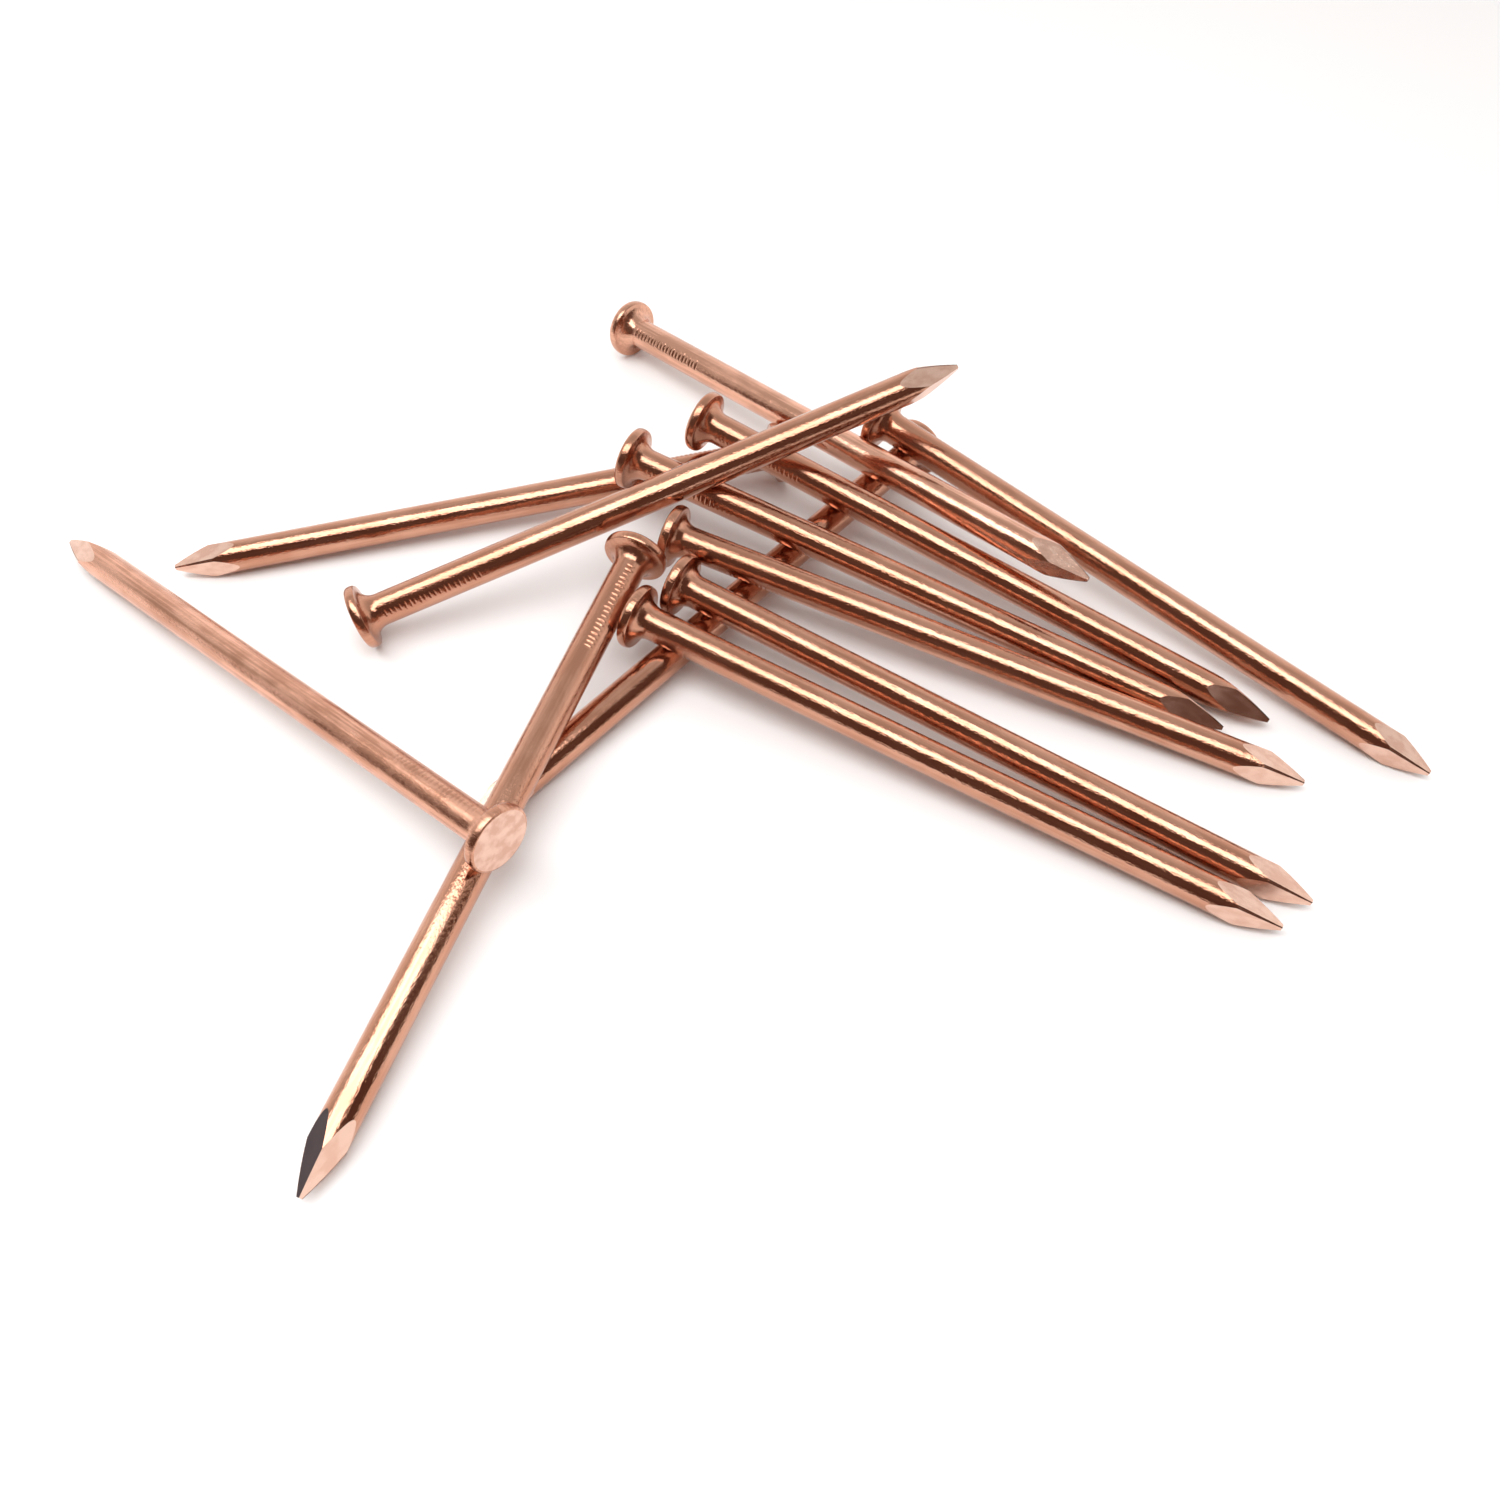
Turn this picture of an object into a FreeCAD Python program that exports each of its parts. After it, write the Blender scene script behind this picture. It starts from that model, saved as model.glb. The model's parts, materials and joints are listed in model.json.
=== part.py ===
import FreeCAD, Part
import math
import os

# A loose handful of twelve identical round wire nails, lying where they fell.
# Millimetres, +Z up, the floor at z = 0, the middle of the pile's footprint
# over the origin.  A wire nail is one piece of metal from head to point, so
# each nail is one solid and one file.

os.makedirs("parts", exist_ok=True)

# ---------------------------------------------------------------- the nail
LENGTH = 75.0                    # from the top of the head to the end of the point
SHANK_D = 3.75
HEAD_D = 2.0 * SHANK_D
HEAD_RIM = 1.15                  # thickness of the head at its rim
RIM_ROUND = 0.35                 # how far the rim rolls in to the flat face
FLARE = 1.7                      # hollow flare that carries the head into the shank
POINT = 2.0 * SHANK_D            # length of the four facets
POINT_BULGE = 0.4                # 0 is a straight taper, more is a fuller point
TIP_FLAT = 0.44                  # the pinched-off end is a small square
SEAM_TRIM = 0.93                 # the seam ridges keep this much of their sharp height

GRIP_START = 3.4                 # first grip mark, from the top of the head
GRIP_PITCH = 0.6
GRIP_COUNT = 20
GRIP_DEPTH = 0.14
GRIP_WIDTH = 0.34
GRIP_TURN = 83.0                 # degrees from a seam ridge round to the grip marks

R_SHANK = SHANK_D / 2.0
R_HEAD = HEAD_D / 2.0
BEND = 1.0 - math.sqrt(0.5)      # how far the middle of a quarter turn stands off its side

# ---------------------------------------------------------------- the cutters
CLEAR = 1.0                      # how far a cutter reaches past the metal
COMB_CLEAR = 0.02                # air between two grip teeth and the shank
BLADE_START = 1.2                # blades open wider than the shank by here, in POINTs

# ---------------------------------------------------------------- the pile
GAP = 0.08                       # air left where one nail rests on another
BALANCE = 0.475 * LENGTH         # where a nail balances, from the top of its head
RIM_REACH = 0.5 * HEAD_RIM       # widest place of the head
POINT_STEPS = 8                  # places along the point that may touch the floor
SETTLE_STEPS = 6                 # rounds of laying a nail down; its rise settles in three
PARALLEL = 0.05                  # sine of the angle below which two lines don't cross

# The base nail lies flat on the floor.  Every other nail is placed by where its
# line crosses the line of a nail that is already down: how far along that nail,
# and how far along itself, both from the top of the head.  (Both are negative
# for the side nail: its line meets the base nail's line short of the heads.)
# Heading is the way the point faces, anticlockwise from +X.  Roll turns a nail
# about its own length; at zero a seam ridge is on top.
BASE = ("base_nail", -133.0, -41.0)
CROSSINGS = [
    # name         crosses      along it  own  heading  roll
    ("side_nail",   "base_nail",   -5.5, -22.0, -166.5,   -45),
    ("fan_nail_1",  "base_nail",    3.5,   4.6,  -40.5,    45),
    ("fan_nail_7",  "base_nail",   44.6,   5.1,  -29.0,    35),
    ("fan_nail_6",  "base_nail",   38.4,   4.7,  -30.5,    35),
    ("fan_nail_5",  "base_nail",   31.8,  10.5,  -24.0,    35),
    ("fan_nail_4",  "base_nail",   24.6,  22.1,  -27.5,   -10),
    ("fan_nail_3",  "base_nail",   16.2,  19.9,  -32.5,   -10),
    ("fan_nail_2",  "base_nail",    9.5,  44.4,  -44.0,   -35),
    ("prop_nail",   "base_nail",   64.8,  26.9, -111.0,    75),
    ("corner_nail", "prop_nail",   39.0,   3.2,  141.5,   -70),
    ("top_nail",    "fan_nail_4",  11.6,  44.1,   20.5,   -20),
]


def nail_outline():
    """Half section of the nail from the middle of the head, rim, flare, shank."""
    mid_rim = 0.5 * HEAD_RIM
    roll_in = R_HEAD - RIM_ROUND
    under = R_SHANK + FLARE
    flare_top = FreeCAD.Vector(HEAD_RIM, under, 0)
    flare_mid = FreeCAD.Vector(HEAD_RIM + BEND * FLARE, R_SHANK + BEND * FLARE, 0)
    flare_foot = FreeCAD.Vector(HEAD_RIM + FLARE, R_SHANK, 0)
    centre = FreeCAD.Vector(0, 0, 0)
    face_edge = FreeCAD.Vector(0, roll_in, 0)
    rim_mid = FreeCAD.Vector(mid_rim, R_HEAD, 0)
    front_bulge = FreeCAD.Vector(BEND * mid_rim, R_HEAD - BEND * RIM_ROUND, 0)
    back_bulge = FreeCAD.Vector(HEAD_RIM - BEND * mid_rim, R_HEAD - BEND * (R_HEAD - under), 0)
    end_out = FreeCAD.Vector(LENGTH, R_SHANK, 0)
    end_in = FreeCAD.Vector(LENGTH, 0, 0)
    return Part.Wire([
        Part.makeLine(centre, face_edge),
        Part.Arc(face_edge, front_bulge, rim_mid).toShape(),
        Part.Arc(rim_mid, back_bulge, flare_top).toShape(),
        Part.Arc(flare_top, flare_mid, flare_foot).toShape(),
        Part.makeLine(flare_foot, end_out),
        Part.makeLine(end_out, end_in),
        Part.makeLine(end_in, centre),
    ])


def point_half_width(back, trim):
    """Half width across opposite facets, `back` from the end of the point."""
    u = back / POINT
    full = (1.0 + POINT_BULGE) * u - POINT_BULGE * u * u
    return trim * (0.5 * TIP_FLAT + (R_SHANK - 0.5 * TIP_FLAT) * full)


def point_blade(trim, turn):
    """A slab with curved sides: what two opposite cutters leave of the wire."""
    wide = R_HEAD + CLEAR
    start = BLADE_START * POINT
    stations = (start, 0.5 * start, 0.0)
    left = [FreeCAD.Vector(LENGTH - s, point_half_width(s, trim), 0) for s in stations]
    right = [FreeCAD.Vector(p.x, -p.y, 0) for p in left]
    back_left = FreeCAD.Vector(left[0].x, wide, 0)
    back_right = FreeCAD.Vector(left[0].x, -wide, 0)
    head_left = FreeCAD.Vector(-CLEAR, wide, 0)
    head_right = FreeCAD.Vector(-CLEAR, -wide, 0)
    wire = Part.Wire([
        Part.makeLine(head_left, back_left),
        Part.makeLine(back_left, left[0]),
        Part.Arc(left[0], left[1], left[2]).toShape(),
        Part.makeLine(left[2], right[2]),
        Part.Arc(right[2], right[1], right[0]).toShape(),
        Part.makeLine(right[0], back_right),
        Part.makeLine(back_right, head_right),
        Part.makeLine(head_right, head_left),
    ])
    slab = Part.Face(wire).extrude(FreeCAD.Vector(0, 0, 2.0 * wide))
    slab.translate(FreeCAD.Vector(0, 0, -wide))
    slab.rotate(FreeCAD.Vector(0, 0, 0), FreeCAD.Vector(1, 0, 0), turn)
    return slab


def grip_comb():
    """Row of small teeth that presses the grip marks into the top of the shank."""
    high = R_SHANK + CLEAR
    low = R_SHANK - GRIP_DEPTH
    rim = R_SHANK + COMB_CLEAR
    corners = [FreeCAD.Vector(GRIP_START - GRIP_PITCH, 0, high)]
    corners.append(FreeCAD.Vector(GRIP_START - GRIP_PITCH, 0, rim))
    for i in range(GRIP_COUNT):
        middle = GRIP_START + i * GRIP_PITCH
        corners.append(FreeCAD.Vector(middle - 0.5 * GRIP_WIDTH, 0, rim))
        corners.append(FreeCAD.Vector(middle, 0, low))
        corners.append(FreeCAD.Vector(middle + 0.5 * GRIP_WIDTH, 0, rim))
    last = GRIP_START + GRIP_COUNT * GRIP_PITCH
    corners.append(FreeCAD.Vector(last, 0, rim))
    corners.append(FreeCAD.Vector(last, 0, high))
    corners.append(corners[0])
    comb = Part.Face(Part.makePolygon(corners)).extrude(FreeCAD.Vector(0, SHANK_D, 0))
    comb.translate(FreeCAD.Vector(0, -R_SHANK, 0))
    return comb


def make_nail():
    """One nail along +X, head at x = 0, seam ridges of the point at +Z and -Z."""
    centre = FreeCAD.Vector(0, 0, 0)
    along = FreeCAD.Vector(1, 0, 0)
    nail = Part.Face(nail_outline()).revolve(centre, along, 360)
    nail = nail.common(point_blade(1.0, 45))
    nail = nail.common(point_blade(1.0, -45))
    nail = nail.common(point_blade(SEAM_TRIM * math.sqrt(2.0), 90))
    for side in (0, 180):
        comb = grip_comb()
        comb.rotate(centre, along, GRIP_TURN + side)
        nail = nail.cut(comb)
    return nail


def half_width(along):
    """Radius of the nail at a distance from the top of its head."""
    if along < HEAD_RIM:
        return R_HEAD
    if along < HEAD_RIM + FLARE:
        drop = HEAD_RIM + FLARE - along
        return R_SHANK + FLARE - math.sqrt(FLARE * FLARE - drop * drop)
    return R_SHANK


def point_reach(back, roll):
    """How far the point reaches below its middle line, `back` from its end."""
    facet = math.radians(roll - 45.0)
    square = abs(math.cos(facet)) + abs(math.sin(facet))
    return min(R_SHANK, point_half_width(back, 1.0) * square)


def direction(heading, rise):
    """Unit vector for a compass heading in radians and a rise per unit length."""
    flat = math.sqrt(1.0 - rise * rise)
    return FreeCAD.Vector(flat * math.cos(heading), flat * math.sin(heading), rise)


def crossing(head_a, way_a, head_b, way_b):
    """Distances along two nails to where their lines cross, seen from above."""
    det = way_b.x * way_a.y - way_a.x * way_b.y
    if abs(det) < PARALLEL:
        return None
    dx = head_b.x - head_a.x
    dy = head_b.y - head_a.y
    on_a = (way_b.x * dy - way_b.y * dx) / det
    on_b = (way_a.x * dy - way_a.y * dx) / det
    return on_a, on_b


def resting_line(supports):
    """Height of the head end and the rise of a nail lying on its supports.

    Each support is (distance along the nail, least height of its middle line).
    The nail comes to rest on one support each side of where it balances, and
    the pair that holds it highest there is the pair it really lies on.
    """
    best = None
    for near_at, near_height in supports:
        for far_at, far_height in supports:
            if near_at > BALANCE or far_at <= BALANCE:
                continue
            rise = (far_height - near_height) / (far_at - near_at)
            held = near_height + rise * (BALANCE - near_at)
            if best is None or held > best[0]:
                best = (held, near_height - rise * near_at, rise)
    return best[1], best[2]


def lay_down(heading, roll, other, along, own, laid):
    """Rest a nail on the floor and on the nails already laid."""
    floor = [(RIM_REACH, R_HEAD)]
    for step in range(POINT_STEPS + 1):
        back = POINT * step / POINT_STEPS
        floor.append((LENGTH - back, point_reach(back, roll)))
    turn = math.radians(heading)
    rise = 0.0
    for settle in range(SETTLE_STEPS):
        way = direction(turn, rise)
        head = FreeCAD.Vector(0, 0, 0)
        if other is not None:
            other_head, other_way = laid[other]
            head = other_head + other_way * along - way * own
        supports = list(floor)
        for low_head, low_way in laid.values():
            where = crossing(head, way, low_head, low_way)
            if where is None:
                continue
            mine, its = where
            if not (0.0 < mine < LENGTH and 0.0 < its < LENGTH):
                continue
            across = way.cross(low_way)
            upright = abs(across.z) / across.Length
            stack = (half_width(mine) + half_width(its) + GAP) / upright
            supports.append((mine, low_head.z + low_way.z * its + stack))
        height, rise = resting_line(supports)
        head.z = height
    return head, direction(turn, rise)


def set_down(nail, head, way, roll):
    """Copy of the nail moved from +X to its place in the pile."""
    axis = FreeCAD.Vector(1, 0, 0)
    up = FreeCAD.Vector(0, 0, 1)
    yaw = math.degrees(math.atan2(way.y, way.x))
    pitch = -math.degrees(math.asin(way.z))
    turned = FreeCAD.Rotation(axis, roll)
    turned = FreeCAD.Rotation(FreeCAD.Vector(0, 1, 0), pitch).multiply(turned)
    turned = FreeCAD.Rotation(up, yaw).multiply(turned)
    placed = nail.copy()
    placed.Placement = FreeCAD.Placement(head, turned)
    return placed


nail = make_nail()
laid = {}
rolls = {}
laid[BASE[0]] = lay_down(BASE[1], BASE[2], None, 0.0, 0.0, laid)
rolls[BASE[0]] = BASE[2]
for name, other, along, own, heading, roll in CROSSINGS:
    laid[name] = lay_down(heading, roll, other, along, own, laid)
    rolls[name] = roll

pile = {name: set_down(nail, laid[name][0], laid[name][1], rolls[name]) for name in laid}

# Bring the middle of the footprint over the origin and the lowest point to z = 0.
boxes = [shape.optimalBoundingBox(False, False) for shape in pile.values()]
x_middle = 0.5 * (min(b.XMin for b in boxes) + max(b.XMax for b in boxes))
y_middle = 0.5 * (min(b.YMin for b in boxes) + max(b.YMax for b in boxes))
z_lowest = min(b.ZMin for b in boxes)
shift = FreeCAD.Vector(-x_middle, -y_middle, -z_lowest)
for name, shape in pile.items():
    shape.translate(shift)
    shape.exportStep("parts/" + name + ".step")
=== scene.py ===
import json
import math

import bpy
import numpy as np
from mathutils import Matrix, Vector

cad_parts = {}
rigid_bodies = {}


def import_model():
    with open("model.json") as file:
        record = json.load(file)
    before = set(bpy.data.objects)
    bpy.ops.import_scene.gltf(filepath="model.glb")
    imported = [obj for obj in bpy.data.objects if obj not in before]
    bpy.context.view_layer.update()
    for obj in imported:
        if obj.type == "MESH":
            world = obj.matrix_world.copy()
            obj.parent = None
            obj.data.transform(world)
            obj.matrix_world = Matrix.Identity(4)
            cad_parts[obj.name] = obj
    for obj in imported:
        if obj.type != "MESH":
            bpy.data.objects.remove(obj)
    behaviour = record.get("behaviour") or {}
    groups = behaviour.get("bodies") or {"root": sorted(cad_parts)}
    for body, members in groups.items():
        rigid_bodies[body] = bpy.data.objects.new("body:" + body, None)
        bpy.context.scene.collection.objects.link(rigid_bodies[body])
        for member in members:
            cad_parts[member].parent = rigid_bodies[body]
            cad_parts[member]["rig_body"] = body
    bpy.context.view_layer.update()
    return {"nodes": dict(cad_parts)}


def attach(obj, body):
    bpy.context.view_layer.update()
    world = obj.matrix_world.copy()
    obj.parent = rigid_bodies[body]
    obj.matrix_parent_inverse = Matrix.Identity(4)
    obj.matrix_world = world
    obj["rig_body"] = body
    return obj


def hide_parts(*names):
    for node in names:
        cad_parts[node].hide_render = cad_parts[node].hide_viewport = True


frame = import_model()

# A pile of twelve copper wire nails.  Each nail's place is read from its CAD
# solid, and the nail is then built again as a fine mesh along its own length.
# Nail sizes are in millimetres, and MM turns them into scene metres.
MM = 0.001

LENGTH = 75.0
R_SHANK = 3.75 / 2
R_HEAD = 2 * R_SHANK
HEAD_RIM = 1.15
RIM_ROUND = 0.35
HEAD_OVAL = 0.010                # a head's rim is out of round by this share
HEAD_LOBES = 0.006               # and by this share more in five shallow lobes
FLARE = 1.7
POINT = 4 * R_SHANK
POINT_LEAD = 0.4                 # the mesh's round rows end this far before the point
POINT_BULGE = 0.4
TIP_HALF = 0.22
SEAM_TRIM = 0.93

GRIP_START = 3.4
GRIP_PITCH = 0.6
GRIP_COUNT = 20
GRIP_DEPTH = 0.14
GRIP_WIDTH = 0.34
GRIP_TURN = math.radians(83)
GRIP_LIP = 0.02                  # metal pushed up at the edges of a grip mark
GRIP_LIP_WIDTH = 0.06
GRIP_REACH = math.radians(50)    # no grip mark reaches further round than this
GRIP_STRAY = 0.06                # marks stray along the nail by up to this
GRIP_SLANT = 0.12                # and slant by up to this, in millimetres per radian

# An angle round the nail is measured from one seam ridge of its point.  The two
# seam ridges have a narrow flat land along them; the plain ridges are sharp.
COLUMNS = 96
LAND_TURN = math.atan(1 / SEAM_TRIM - 1)
LAND_SLOPE = math.tan(LAND_TURN)
GRIP_STEP = 0.1                  # mesh rows along the grip marks
SHANK_ROWS = 20
BLEND_ROWS = 4                   # between the last round row and the facets' edge
POINT_ROWS = 24

# Each nail's own millimetres are shifted along by this much times its number, so
# that no two nails get the same grain.
NAIL_APART = 100.0

# Where each material stands in a nail's list.
WIRE_SLOT = 0
FACET_SLOT = 1
HEAD_SLOT = 2
PAINTED_DARK_SLOT = 3

# The nail that is satin all along, the one that is satin only under its head, and
# the one painted paler than the rest, a painted reflection of the brighter light it catches.
SATIN = "corner_nail"
HALF_SATIN = "prop_nail"
SHEEN_PAINTED_NAIL = "fan_nail_2"
# The nail whose point was pinched off roughly.
ROUGH_POINT = "fan_nail_2"
# The nail with one facet painted near-black, a painted dark reflection: the last one round from its
# seam ridge.
PAINTED_DARK_FACET_NAIL = "prop_nail"


# ---------------------------------------------------------------- nail shape
def column_angles():
    """Angles round the nail, with a column on every edge of the point."""
    turns = 2 * math.pi * np.arange(COLUMNS) / COLUMNS
    half = COLUMNS // 2
    turns[1] = LAND_TURN
    turns[half - 1] = math.pi - LAND_TURN
    turns[half + 1] = math.pi + LAND_TURN
    turns[-1] = 2 * math.pi - LAND_TURN
    return turns


def head_profile():
    """(distance from the top of the head, radius) from the face to the foot of the flare."""
    flat = R_HEAD - RIM_ROUND
    half_rim = 0.5 * HEAD_RIM
    under = R_SHANK + FLARE
    foot = HEAD_RIM + FLARE
    face = [(0.0, flat * share) for share in (0.15, 0.3, 0.45, 0.6, 0.75, 0.88, 0.96, 1.0)]
    rim = []
    for turn in np.linspace(0, 0.5 * math.pi, 9)[1:]:
        rim.append((half_rim * (1 - math.cos(turn)), flat + RIM_ROUND * math.sin(turn)))
    for turn in np.linspace(0, 0.5 * math.pi, 7)[1:]:
        rim.append((half_rim * (1 + math.sin(turn)), under + (R_HEAD - under) * math.cos(turn)))
    for turn in np.linspace(0, 0.5 * math.pi, 15)[1:]:
        rim.append((foot - FLARE * math.cos(turn), under - FLARE * math.sin(turn)))
    return face, rim


def point_half_width(back):
    """Half width across opposite facets, `back` from the end of the point."""
    u = back / POINT
    full = (1 + POINT_BULGE) * u - POINT_BULGE * u * u
    return TIP_HALF + (R_SHANK - TIP_HALF) * full


def facet_start(reach):
    """How far from the end of the point the facets meet the round shank."""
    want = (R_SHANK / reach - TIP_HALF) / (R_SHANK - TIP_HALF)
    b = 1 + POINT_BULGE
    return POINT * (b - np.sqrt(b * b - 4 * POINT_BULGE * want)) / (2 * POINT_BULGE)


def point_reach(turns):
    """Radius of the point's outline round the nail, where its half width is one."""
    off_facet = np.abs((turns % (0.5 * math.pi)) - 0.25 * math.pi)
    sharp = 1 / np.cos(off_facet)
    land = SEAM_TRIM * math.sqrt(2) / np.maximum(np.abs(np.cos(turns)), 1e-6)
    return np.minimum(sharp, land)


def gripped_radius(x, turns, rng):
    """Radius along the gripped part of the shank: one row per x, one column per turn."""
    radius = np.full((len(x), len(turns)), R_SHANK)
    lip = np.zeros_like(radius)
    for side in (0, math.pi):
        off = (turns - GRIP_TURN - side + math.pi) % (2 * math.pi) - math.pi
        near = np.abs(off) < GRIP_REACH
        for i in range(GRIP_COUNT):
            middle = GRIP_START + i * GRIP_PITCH + rng.uniform(-GRIP_STRAY, GRIP_STRAY)
            slant = rng.uniform(-GRIP_SLANT, GRIP_SLANT)
            depth = GRIP_DEPTH * rng.uniform(0.5, 1.0)
            half = 0.5 * GRIP_WIDTH * rng.uniform(0.8, 1.05)
            away = np.abs(x[:, None] - middle - slant * off[None, :])
            deep = depth * np.clip(1 - away / half, 0, None)
            cut = (R_SHANK - deep) / np.cos(np.where(near, off, 0))[None, :]
            inside = near[None, :] & (deep > 0)
            radius = np.where(inside, np.minimum(radius, cut), radius)
            fade = np.clip(1 - np.abs(off) / math.acos(1 - depth / R_SHANK), 0, 1)
            lip += GRIP_LIP * np.exp(-((away - half) / GRIP_LIP_WIDTH) ** 2) * fade[None, :]
    return radius + lip


def nail_rings(turns, rng):
    """Rings of the nail's skin, head to point: x and radius for every column.

    Also gives the index of the first rim ring and of the facets' edge ring.
    """
    ones = np.ones_like(turns)
    xs = []
    radii = []
    face, rim = head_profile()
    uneven = 1 - HEAD_OVAL * (0.5 + 0.5 * np.sin(2 * turns + rng.uniform(0, 6)))
    uneven *= 1 - HEAD_LOBES * (0.5 + 0.5 * np.sin(5 * turns + rng.uniform(0, 6)))
    for x, radius in face + rim:
        round_off = (radius - R_SHANK) / (R_HEAD - R_SHANK) if radius > R_SHANK else 0.0
        xs.append(x * ones)
        radii.append(radius * (1 + (uneven - 1) * max(0.0, round_off)))
    grip_end = GRIP_START + GRIP_COUNT * GRIP_PITCH
    grips = np.arange(HEAD_RIM + FLARE + GRIP_STEP, grip_end, GRIP_STEP)
    for x, radius in zip(grips, gripped_radius(grips, turns, rng)):
        xs.append(x * ones)
        radii.append(radius)
    last_round = LENGTH - POINT - POINT_LEAD
    for x in np.linspace(grip_end, last_round, SHANK_ROWS):
        xs.append(x * ones)
        radii.append(R_SHANK * ones)
    reach = point_reach(turns)
    start = facet_start(reach)
    edge_x = LENGTH - start
    for share in np.linspace(0, 1, BLEND_ROWS + 2)[1:-1]:
        xs.append(last_round + (edge_x - last_round) * share)
        radii.append(R_SHANK * ones)
    edge_ring = len(xs)
    for share in np.linspace(1, 0, POINT_ROWS):
        back = start * share
        xs.append(LENGTH - back)
        radii.append(point_half_width(back) * reach)
    for share in (0.66, 0.33):
        xs.append(LENGTH * ones)
        radii.append(TIP_HALF * reach * share)
    return np.array(xs), np.array(radii), len(face) - 1, edge_ring


def nail_mesh(name, pose, number):
    """Mesh of one nail, standing where its CAD solid is."""
    rng = np.random.default_rng(100 + number)
    turns = column_angles()
    xs, radii, face_ring, edge_ring = nail_rings(turns, rng)
    rings = len(xs)
    local = np.empty((rings * COLUMNS + 2, 3))
    local[:-2, 0] = xs.ravel()
    local[:-2, 1] = (-radii * np.sin(turns)).ravel()
    local[:-2, 2] = (radii * np.cos(turns)).ravel()
    local[-2] = (0, 0, 0)
    local[-1] = (LENGTH, 0, 0)
    head_middle = rings * COLUMNS
    tip_middle = head_middle + 1

    ring, column = np.divmod(np.arange((rings - 1) * COLUMNS), COLUMNS)
    following = (column + 1) % COLUMNS
    quads = np.stack([
        ring * COLUMNS + column,
        ring * COLUMNS + following,
        (ring + 1) * COLUMNS + following,
        (ring + 1) * COLUMNS + column,
    ], axis=1)
    around = np.arange(COLUMNS)
    after = (around + 1) % COLUMNS
    last = (rings - 1) * COLUMNS
    head_fan = [(head_middle, int(b), int(a)) for a, b in zip(around, after)]
    tip_fan = [(tip_middle, int(last + a), int(last + b)) for a, b in zip(around, after)]

    world = (local @ pose[:3, :3].T + pose[:3, 3]) * MM
    mesh = bpy.data.meshes.new(name + "_skin")
    mesh.from_pydata(world.tolist(), [], quads.tolist() + head_fan + tip_fan)

    slots = np.full(len(mesh.polygons), WIRE_SLOT, np.int32)
    slots[:len(ring)][ring < face_ring] = HEAD_SLOT
    slots[:len(ring)][ring >= edge_ring] = FACET_SLOT
    slots[len(ring):len(ring) + COLUMNS] = HEAD_SLOT
    slots[len(ring) + COLUMNS:] = FACET_SLOT
    # One facet of this nail gets the near-black material, a painted dark reflection.
    if name == PAINTED_DARK_FACET_NAIL:
        last_facet = (column >= 3 * COLUMNS // 4) & (column < COLUMNS - 1)
        slots[:len(ring)][(ring >= edge_ring) & last_facet] = PAINTED_DARK_SLOT
    mesh.polygons.foreach_set("material_index", slots)
    mesh.polygons.foreach_set("use_smooth", np.ones(len(mesh.polygons), bool))
    mark_sharp(mesh, rings, edge_ring)

    local[:, 0] += NAIL_APART * number
    where = mesh.attributes.new("nail_mm", "FLOAT_VECTOR", "POINT")
    where.data.foreach_set("vector", local.astype(np.float32).ravel())
    mesh.update()
    return mesh


def mark_sharp(mesh, rings, edge_ring):
    """Sharp edges round the facets, down the ridges and round the blunt end."""
    ends = np.empty(2 * len(mesh.edges), np.int32)
    mesh.edges.foreach_get("vertices", ends)
    ring, column = np.divmod(ends.reshape(-1, 2), COLUMNS)
    quarter = COLUMNS // 4
    ridges = (1, quarter, 2 * quarter - 1, 2 * quarter + 1, 3 * quarter, COLUMNS - 1)
    blunt_ring = edge_ring + POINT_ROWS - 1
    same_ring = ring[:, 0] == ring[:, 1]
    across = same_ring & np.isin(ring[:, 0], (edge_ring, blunt_ring))
    same_column = column[:, 0] == column[:, 1]
    on_point = (ring.min(axis=1) >= edge_ring) & (ring.max(axis=1) <= blunt_ring)
    down = same_column & on_point & np.isin(column[:, 0], ridges)
    sharp = mesh.attributes.new("sharp_edge", "BOOLEAN", "EDGE")
    sharp.data.foreach_set("value", across | down)


# ---------------------------------------------------------------- nail places
def read_pose(node):
    """4 x 4 matrix, in millimetres, from a nail's own frame to its place in the pile.

    The nail's own frame has +X from the head to the point, +Z to a seam ridge.
    """
    points = np.array([v.co for v in node.data.vertices]) / MM
    points = np.unique(points.round(4), axis=0)
    middle = points.mean(axis=0)
    axis = np.linalg.svd(points - middle, full_matrices=False)[2][0]
    along = (points - middle) @ axis
    spread = np.linalg.norm(points - middle - along[:, None] * axis, axis=1)
    if spread[along > 0].max() > spread[along < 0].max():
        axis = -axis
        along = -along
    head = points[along < along.min() + 0.05].mean(axis=0)
    tip_points = points[along > along.max() - 0.02]
    tip = tip_points.mean(axis=0)
    x_way = (tip - head) / np.linalg.norm(tip - head)
    corners = tip_points - tip
    ridge = corners[np.argmax(np.linalg.norm(corners, axis=1))]
    ridge = ridge - (ridge @ x_way) * x_way
    y_way = ridge / np.linalg.norm(ridge)
    z_way = np.cross(x_way, y_way)
    if z_way[2] < 0:
        y_way = -y_way
        z_way = -z_way
    pose = np.eye(4)
    pose[:3, 0] = x_way
    pose[:3, 1] = y_way
    pose[:3, 2] = z_way
    pose[:3, 3] = tip - LENGTH * x_way
    return pose


# ---------------------------------------------------------------- materials
BRIGHT = (0.600, 0.318, 0.218)
DULL = (0.515, 0.248, 0.160)
PALE = (0.800, 0.540, 0.430)
PALE_DULL = (0.700, 0.430, 0.330)
SATIN_BRIGHT = (0.820, 0.450, 0.320)
SATIN_DULL = (0.560, 0.275, 0.180)
# Near-black colour of one facet: a painted dark reflection.
PAINTED_DARK_REFLECTION = (0.085, 0.062, 0.065)

# The handled stretch, in millimetres from the top of the head.
HANDLED_TO = 10.0
HANDLED_FADED = 34.0
HANDLED_DULL = 0.35              # how far its colour goes towards the dull one
HANDLED_ROUGH = 0.07             # added to its roughness
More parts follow.
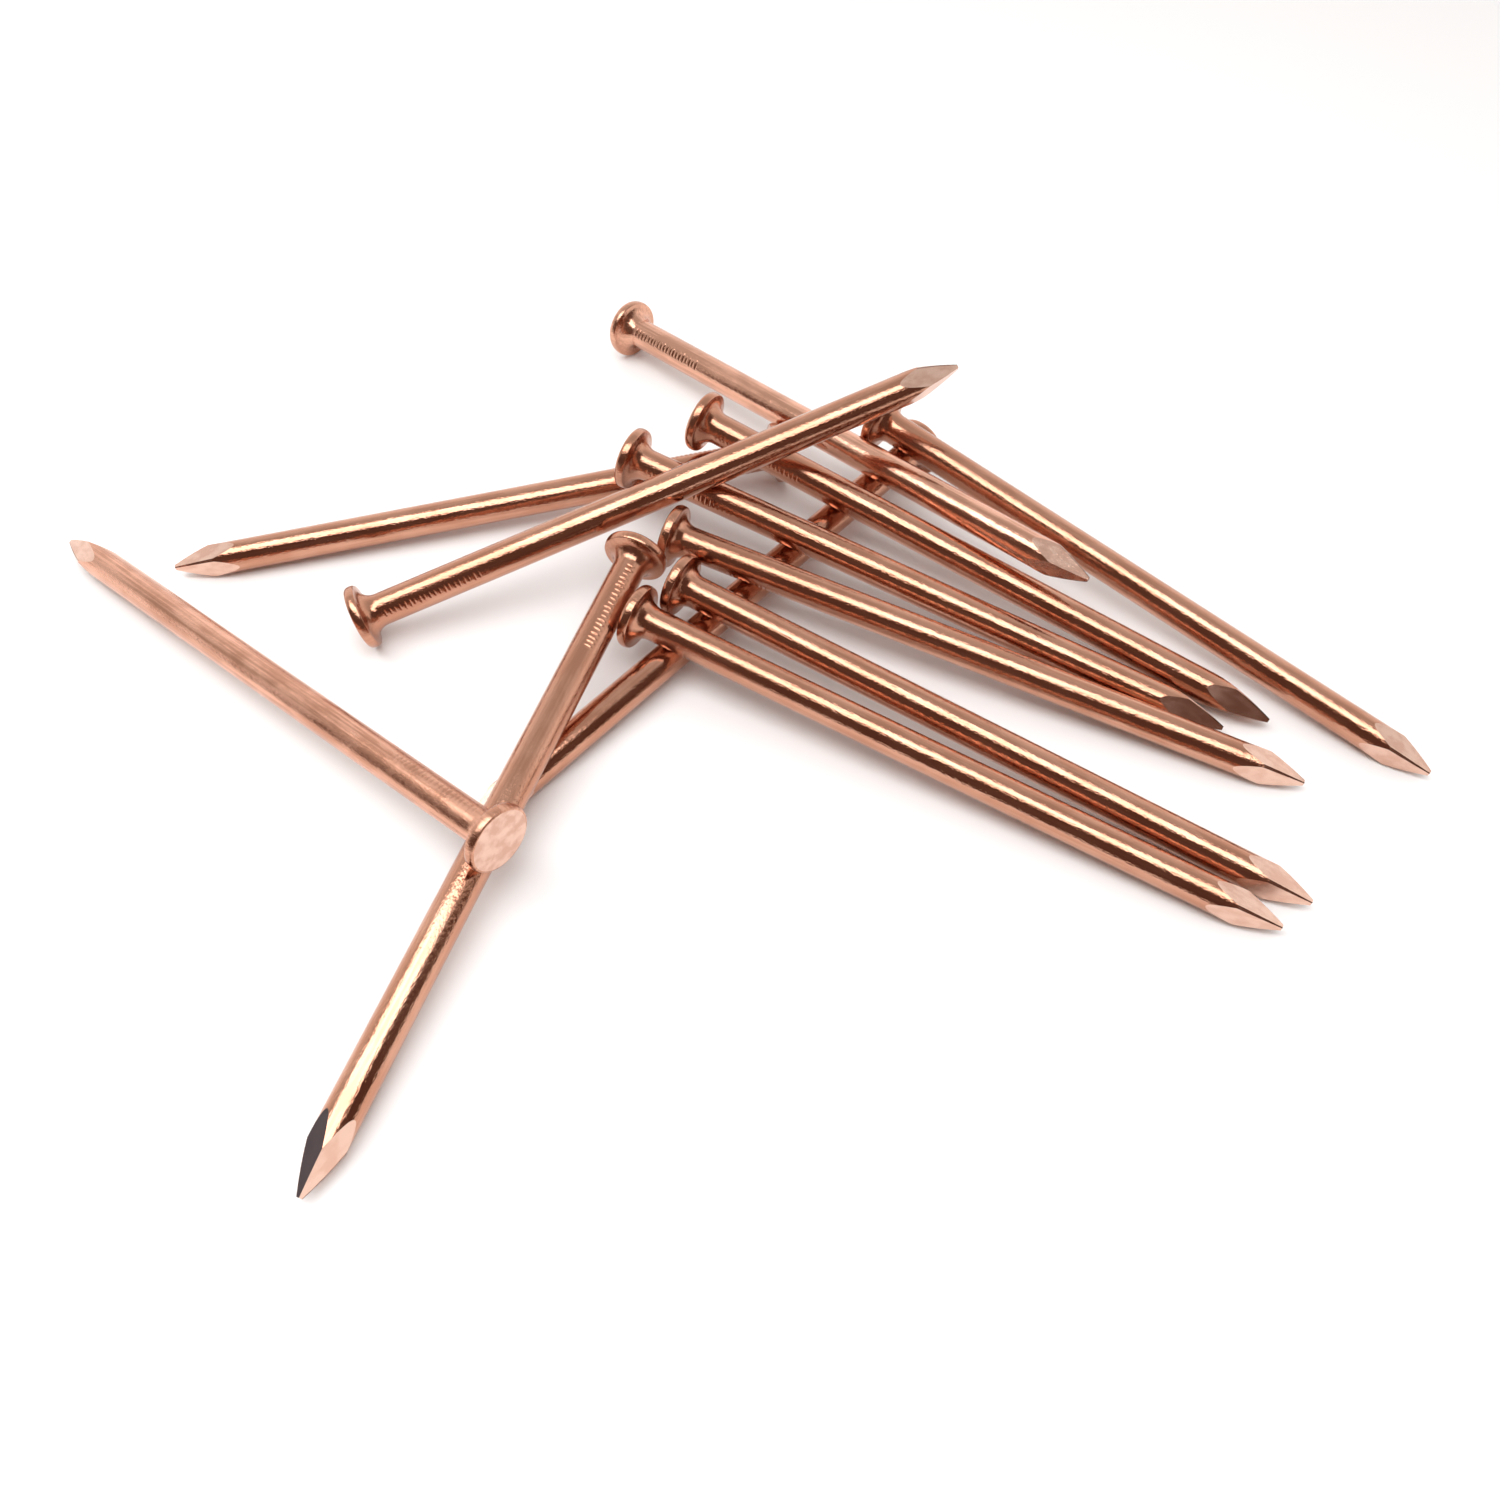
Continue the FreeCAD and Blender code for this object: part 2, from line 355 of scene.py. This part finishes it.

# The two lines of painted shade along each seam ridge, standing in for the shade in the grooves
# beside its land, in millimetres.
LINE_HALF = 0.045
LINE_FADED = 0.095
LINE_RAGGED = 0.05
PAINTED_GROOVE_SHADE = (0.16, 0.06, 0.035)


def new_material(name):
    """Empty node material, with its Principled shader."""
    material = bpy.data.materials.new(name)
    material.use_nodes = True
    tree = material.node_tree
    shader = tree.nodes["Principled BSDF"]
    return material, tree, shader


def link(tree, source, socket):
    """Join an output, or set a plain value."""
    if isinstance(source, bpy.types.NodeSocket):
        tree.links.new(source, socket)
    else:
        socket.default_value = source


def maths(tree, operation, a, b=0.0, clamp=False):
    """Output of one Math node."""
    node = tree.nodes.new("ShaderNodeMath")
    node.operation = operation
    node.use_clamp = clamp
    link(tree, a, node.inputs[0])
    link(tree, b, node.inputs[1])
    return node.outputs[0]


def ramp(tree, value, low, high, to_low=0.0, to_high=1.0):
    """Value carried smoothly from one range to another and held at its ends."""
    node = tree.nodes.new("ShaderNodeMapRange")
    node.interpolation_type = "SMOOTHSTEP"
    link(tree, value, node.inputs["Value"])
    node.inputs["From Min"].default_value = low
    node.inputs["From Max"].default_value = high
    link(tree, to_low, node.inputs["To Min"])
    link(tree, to_high, node.inputs["To Max"])
    return node.outputs["Result"]


def stretched(tree, scale):
    """Place on the nail in its own millimetres, times a scale for each direction."""
    place = tree.nodes.new("ShaderNodeAttribute")
    place.attribute_name = "nail_mm"
    node = tree.nodes.new("ShaderNodeVectorMath")
    node.operation = "MULTIPLY"
    tree.links.new(place.outputs["Vector"], node.inputs[0])
    node.inputs[1].default_value = scale
    return node.outputs["Vector"]


def place_on_nail(tree):
    """Outputs X, Y and Z of the place on the nail, X shifted along as in its mesh."""
    place = tree.nodes.new("ShaderNodeSeparateXYZ")
    tree.links.new(stretched(tree, (1, 1, 1)), place.inputs["Vector"])
    return place.outputs


def noise(tree, scale, detail=3.0):
    """Noise from 0 to 1 whose grains measure about 1 / scale millimetres."""
    node = tree.nodes.new("ShaderNodeTexNoise")
    node.inputs["Scale"].default_value = 1.0
    node.inputs["Detail"].default_value = detail
    tree.links.new(stretched(tree, scale), node.inputs["Vector"])
    return node.outputs["Fac"]


def blend_colour(tree, factor, a, b):
    """Colour a where the factor is 0, colour b where it is 1."""
    node = tree.nodes.new("ShaderNodeMix")
    node.data_type = "RGBA"
    link(tree, factor, node.inputs["Factor"])
    for socket, colour in ((node.inputs[6], a), (node.inputs[7], b)):
        link(tree, colour if isinstance(colour, bpy.types.NodeSocket) else (*colour, 1), socket)
    return node.outputs[2]


def bump(tree, shader, layers):
    """Chain of bumps, each a height from 0 to 1 and its depth in millimetres."""
    normal = None
    for height, depth in layers:
        node = tree.nodes.new("ShaderNodeBump")
        node.inputs["Distance"].default_value = depth * MM
        tree.links.new(height, node.inputs["Height"])
        if normal is not None:
            tree.links.new(normal, node.inputs["Normal"])
        normal = node.outputs["Normal"]
    tree.links.new(normal, shader.inputs["Normal"])


def near_head(tree):
    """1 on the handled and gripped stretch under the head, fading to 0 along the shank."""
    along = maths(tree, "MODULO", place_on_nail(tree)["X"], NAIL_APART)
    return ramp(tree, along, HANDLED_TO, HANDLED_FADED, 1.0, 0.0)


def drawn_copper(name, bright, dull, smooth, worn, grain):
    """Polished wire: drawing streaks, grain, smoky patches, and wear under the head.

    `smooth` and `worn` are the ends of its roughness, `grain` a depth in millimetres.
    """
    material, tree, shader = new_material(name)
    streaks = noise(tree, (0.05, 2.6, 2.6), 4.0)
    patches = noise(tree, (0.22, 0.5, 0.5), 3.0)
    grains = noise(tree, (1.9, 5.4, 5.4), 3.0)
    handled = near_head(tree)
    tone = ramp(tree, maths(tree, "ADD", streaks, patches), 0.80, 1.20)
    tone = maths(tree, "SUBTRACT", tone, maths(tree, "MULTIPLY", handled, HANDLED_DULL), clamp=True)
    tree.links.new(blend_colour(tree, tone, dull, bright), shader.inputs["Base Color"])
    rough = ramp(tree, patches, 0.3, 0.7, smooth, worn)
    rough = maths(tree, "ADD", rough, maths(tree, "MULTIPLY", handled, HANDLED_ROUGH))
    tree.links.new(rough, shader.inputs["Roughness"])
    bump(tree, shader, [(streaks, 0.010), (grains, grain)])
    shader.inputs["Metallic"].default_value = 1.0
    return material


def cut_copper(name, bright, dull, smooth, worn, grain):
    """Cut facets: satin, with two thin lines of painted groove shade down each seam ridge."""
    material, tree, shader = new_material(name)
    patches = noise(tree, (0.5, 0.9, 0.9), 3.0)
    grains = noise(tree, (3.0, 3.0, 3.0), 3.0)
    place = place_on_nail(tree)
    aside = maths(tree, "ABSOLUTE", place["Y"])
    height = maths(tree, "ABSOLUTE", place["Z"])
    land = maths(tree, "MULTIPLY", height, LAND_SLOPE)
    off = maths(tree, "ABSOLUTE", maths(tree, "SUBTRACT", aside, land))
    ragged = maths(tree, "ADD", off, maths(tree, "MULTIPLY", grains, LINE_RAGGED))
    # Painted shade: two thin dark lines beside each seam land, where grooves would be shaded.
    groove_shade = ramp(tree, ragged, LINE_HALF, LINE_FADED, 1.0, 0.0)
    surface = blend_colour(tree, ramp(tree, patches, 0.35, 0.65), dull, bright)
    tree.links.new(blend_colour(tree, groove_shade, surface, PAINTED_GROOVE_SHADE), shader.inputs["Base Color"])
    tree.links.new(ramp(tree, patches, 0.3, 0.7, smooth, worn), shader.inputs["Roughness"])
    bump(tree, shader, [(grains, grain)])
    shader.inputs["Metallic"].default_value = 1.0
    return material


def head_copper(name, bright, dull):
    """Top of the head: satin, mottled where the die struck it."""
    material, tree, shader = new_material(name)
    mottle = noise(tree, (1.0, 0.8, 0.8), 4.0)
    grains = noise(tree, (1.0, 3.5, 3.5), 3.0)
    surface = blend_colour(tree, ramp(tree, mottle, 0.38, 0.62), dull, bright)
    tree.links.new(surface, shader.inputs["Base Color"])
    tree.links.new(ramp(tree, mottle, 0.3, 0.7, 0.5, 0.3), shader.inputs["Roughness"])
    bump(tree, shader, [(mottle, 0.06), (grains, 0.006)])
    shader.inputs["Metallic"].default_value = 1.0
    return material


wire_bright = drawn_copper(
    "copper_wire_bright", BRIGHT, DULL, smooth=0.07, worn=0.12, grain=0.025
)
wire_satin = drawn_copper(
    "copper_wire_satin", SATIN_BRIGHT, SATIN_DULL, smooth=0.16, worn=0.25, grain=0.030
)
wire_half_satin = drawn_copper(
    "copper_wire_half_satin", BRIGHT, DULL, smooth=0.08, worn=0.14, grain=0.030
)
# Paler copper for one nail: a painted reflection of the brighter light that nail catches.
wire_painted_sheen = drawn_copper(
    "copper_wire_painted_sheen", SATIN_BRIGHT, BRIGHT, smooth=0.10, worn=0.16, grain=0.025
)
special_wires = {SATIN: wire_satin, HALF_SATIN: wire_half_satin, SHEEN_PAINTED_NAIL: wire_painted_sheen}
facet_fine = cut_copper(
    "copper_facet", PALE, PALE_DULL, smooth=0.17, worn=0.22, grain=0.006
)
facet_rough = cut_copper(
    "copper_facet_rough", PALE, PALE_DULL, smooth=0.20, worn=0.30, grain=0.060
)
# Near-black facet material: a painted dark reflection.
facet_painted_dark = cut_copper(
    "copper_facet_painted_dark", PAINTED_DARK_REFLECTION, PAINTED_DARK_REFLECTION, smooth=0.35, worn=0.45, grain=0.010
)
head_face = head_copper("copper_head_face", PALE, PALE_DULL)


# ---------------------------------------------------------------- the pile
for number, name in enumerate(sorted(frame["nodes"])):
    node = frame["nodes"][name]
    mesh = nail_mesh(name, read_pose(node), number)
    mesh.materials.append(special_wires.get(name, wire_bright))
    mesh.materials.append(facet_rough if name == ROUGH_POINT else facet_fine)
    mesh.materials.append(head_face)
    mesh.materials.append(facet_painted_dark)
    nail = bpy.data.objects.new(name + "_skin", mesh)
    bpy.context.scene.collection.objects.link(nail)
    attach(nail, node["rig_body"])
    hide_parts(name)


# ---------------------------------------------------------------- floor and light
ROOM_RADIUS = 3.0
ROOM_SIDES = 96

# What the nails mirror of the room: pale low down and behind, greyer overhead, dim
# in front, with a dimmer gap half way up on the left.
ROOM_LOW = (1.26, 1.25, 1.24)
ROOM_OVERHEAD = (0.68, 0.67, 0.66)
ROOM_GAP = (0.66, 0.64, 0.62)
ROOM_DIM = (0.160, 0.098, 0.078)
GAP_WAY = Vector((-0.85, 0.15, 0.50))

STRIP_HEIGHT = 0.30
STRIP_LENGTH = 1.38 * STRIP_HEIGHT
STRIP_WIDTH = 0.52 * STRIP_HEIGHT
STRIP_TURN = math.radians(-22)
STRIP_ENERGY = 0.77

FILL_HEIGHT = 1.4
FILL_ACROSS = 4.0
FILL_ENERGY = 17.0


def room_ring(z):
    """Corners of the room's outline at one height."""
    turns = [2 * math.pi * i / ROOM_SIDES for i in range(ROOM_SIDES)]
    return [(ROOM_RADIUS * math.cos(turn), ROOM_RADIUS * math.sin(turn), z) for turn in turns]


def make_floor():
    """Wide white sheet at the pile's own floor level."""
    mesh = bpy.data.meshes.new("floor")
    mesh.from_pydata(room_ring(0), [], [tuple(range(ROOM_SIDES))])
    material, _, shader = new_material("white_paper")
    shader.inputs["Base Color"].default_value = (0.92, 0.92, 0.92, 1)
    shader.inputs["Roughness"].default_value = 0.9
    shader.inputs["Specular IOR Level"].default_value = 0.2
    mesh.materials.append(material)
    floor = bpy.data.objects.new("floor", mesh)
    bpy.context.scene.collection.objects.link(floor)
    return floor


def make_backdrop():
    """Pale wall round the floor, for views from the side: it lights and reflects nothing."""
    mesh = bpy.data.meshes.new("backdrop")
    walls = []
    for i in range(ROOM_SIDES):
        j = (i + 1) % ROOM_SIDES
        walls.append((i, j, ROOM_SIDES + j, ROOM_SIDES + i))
    mesh.from_pydata(room_ring(0) + room_ring(ROOM_RADIUS), [], walls)
    material, _, shader = new_material("pale_wall")
    shader.inputs["Base Color"].default_value = (0, 0, 0, 1)
    shader.inputs["Specular IOR Level"].default_value = 0.0
    shader.inputs["Emission Color"].default_value = (0.86, 0.855, 0.85, 1)
    shader.inputs["Emission Strength"].default_value = 1.0
    mesh.materials.append(material)
    backdrop = bpy.data.objects.new("backdrop", mesh)
    bpy.context.scene.collection.objects.link(backdrop)
    backdrop.visible_diffuse = False
    backdrop.visible_glossy = False
    backdrop.visible_transmission = False
    backdrop.visible_shadow = False
    return backdrop


def make_room():
    """Soft room round the pile, for the nails to mirror."""
    world = bpy.data.worlds.new("room")
    world.use_nodes = True
    bpy.context.scene.world = world
    tree = world.node_tree
    background = tree.nodes["Background"]
    way = tree.nodes.new("ShaderNodeTexCoord")
    part = tree.nodes.new("ShaderNodeSeparateXYZ")
    tree.links.new(way.outputs["Generated"], part.inputs["Vector"])
    dim = ramp(tree, part.outputs["Y"], -0.12, -0.02, 1.0, 0.0)
    height = ramp(tree, part.outputs["Z"], 0.10, 1.0)
    pale = blend_colour(tree, height, ROOM_LOW, ROOM_OVERHEAD)
    toward_gap = tree.nodes.new("ShaderNodeVectorMath")
    toward_gap.operation = "DOT_PRODUCT"
    tree.links.new(way.outputs["Generated"], toward_gap.inputs[0])
    toward_gap.inputs[1].default_value = GAP_WAY.normalized()
    gap = ramp(tree, toward_gap.outputs["Value"], 0.93, 0.99)
    pale = blend_colour(tree, gap, pale, ROOM_GAP)
    room = blend_colour(tree, dim, pale, ROOM_DIM)
    tree.links.new(room, background.inputs["Color"])


def make_strip():
    """Long soft light overhead, a little in front of the pile."""
    light = bpy.data.lights.new("strip", "AREA")
    light.shape = "RECTANGLE"
    light.size = STRIP_LENGTH
    light.size_y = STRIP_WIDTH
    light.energy = STRIP_ENERGY
    strip = bpy.data.objects.new("strip", light)
    bpy.context.scene.collection.objects.link(strip)
    strip.location = (-0.23 * STRIP_HEIGHT, -0.12 * STRIP_HEIGHT, STRIP_HEIGHT)
    strip.rotation_euler = (0, 0, STRIP_TURN)
    strip.visible_camera = False


def make_fill():
    """Broad light that only brightens matt surfaces, so the paper comes out white."""
    light = bpy.data.lights.new("fill", "AREA")
    light.shape = "DISK"
    light.size = FILL_ACROSS
    light.energy = FILL_ENERGY
    fill = bpy.data.objects.new("fill", light)
    bpy.context.scene.collection.objects.link(fill)
    fill.location = (0, 0, FILL_HEIGHT)
    fill.visible_glossy = False
    fill.visible_camera = False


make_floor()
make_backdrop()
make_room()
make_strip()
make_fill()


# ---------------------------------------------------------------- camera
def make_camera():
    """Close view from the front, looking well down on the pile."""
    place = Vector((0.0043, -0.0885, 0.1140))
    dip = math.radians(55.83)
    yaw = math.radians(0.40)
    roll = math.radians(-0.20)
    ahead = Vector((math.sin(yaw) * math.cos(dip), math.cos(yaw) * math.cos(dip), -math.sin(dip)))
    level = Vector((math.cos(yaw), -math.sin(yaw), 0))
    above = level.cross(ahead)
    right = level * math.cos(roll) - above * math.sin(roll)
    up = level * math.sin(roll) + above * math.cos(roll)
    data = bpy.data.cameras.new("camera")
    data.sensor_width = 36.0
    data.lens = 30.17
    data.clip_start = 0.005
    data.clip_end = 20.0
    camera = bpy.data.objects.new("camera", data)
    turned = Matrix((right, up, -ahead)).transposed().to_4x4()
    camera.matrix_world = Matrix.Translation(place) @ turned
    bpy.context.scene.collection.objects.link(camera)
    return camera


bpy.context.scene.camera = make_camera()
bpy.context.scene.view_settings.view_transform = "Standard"
bpy.context.scene.view_settings.look = "None"
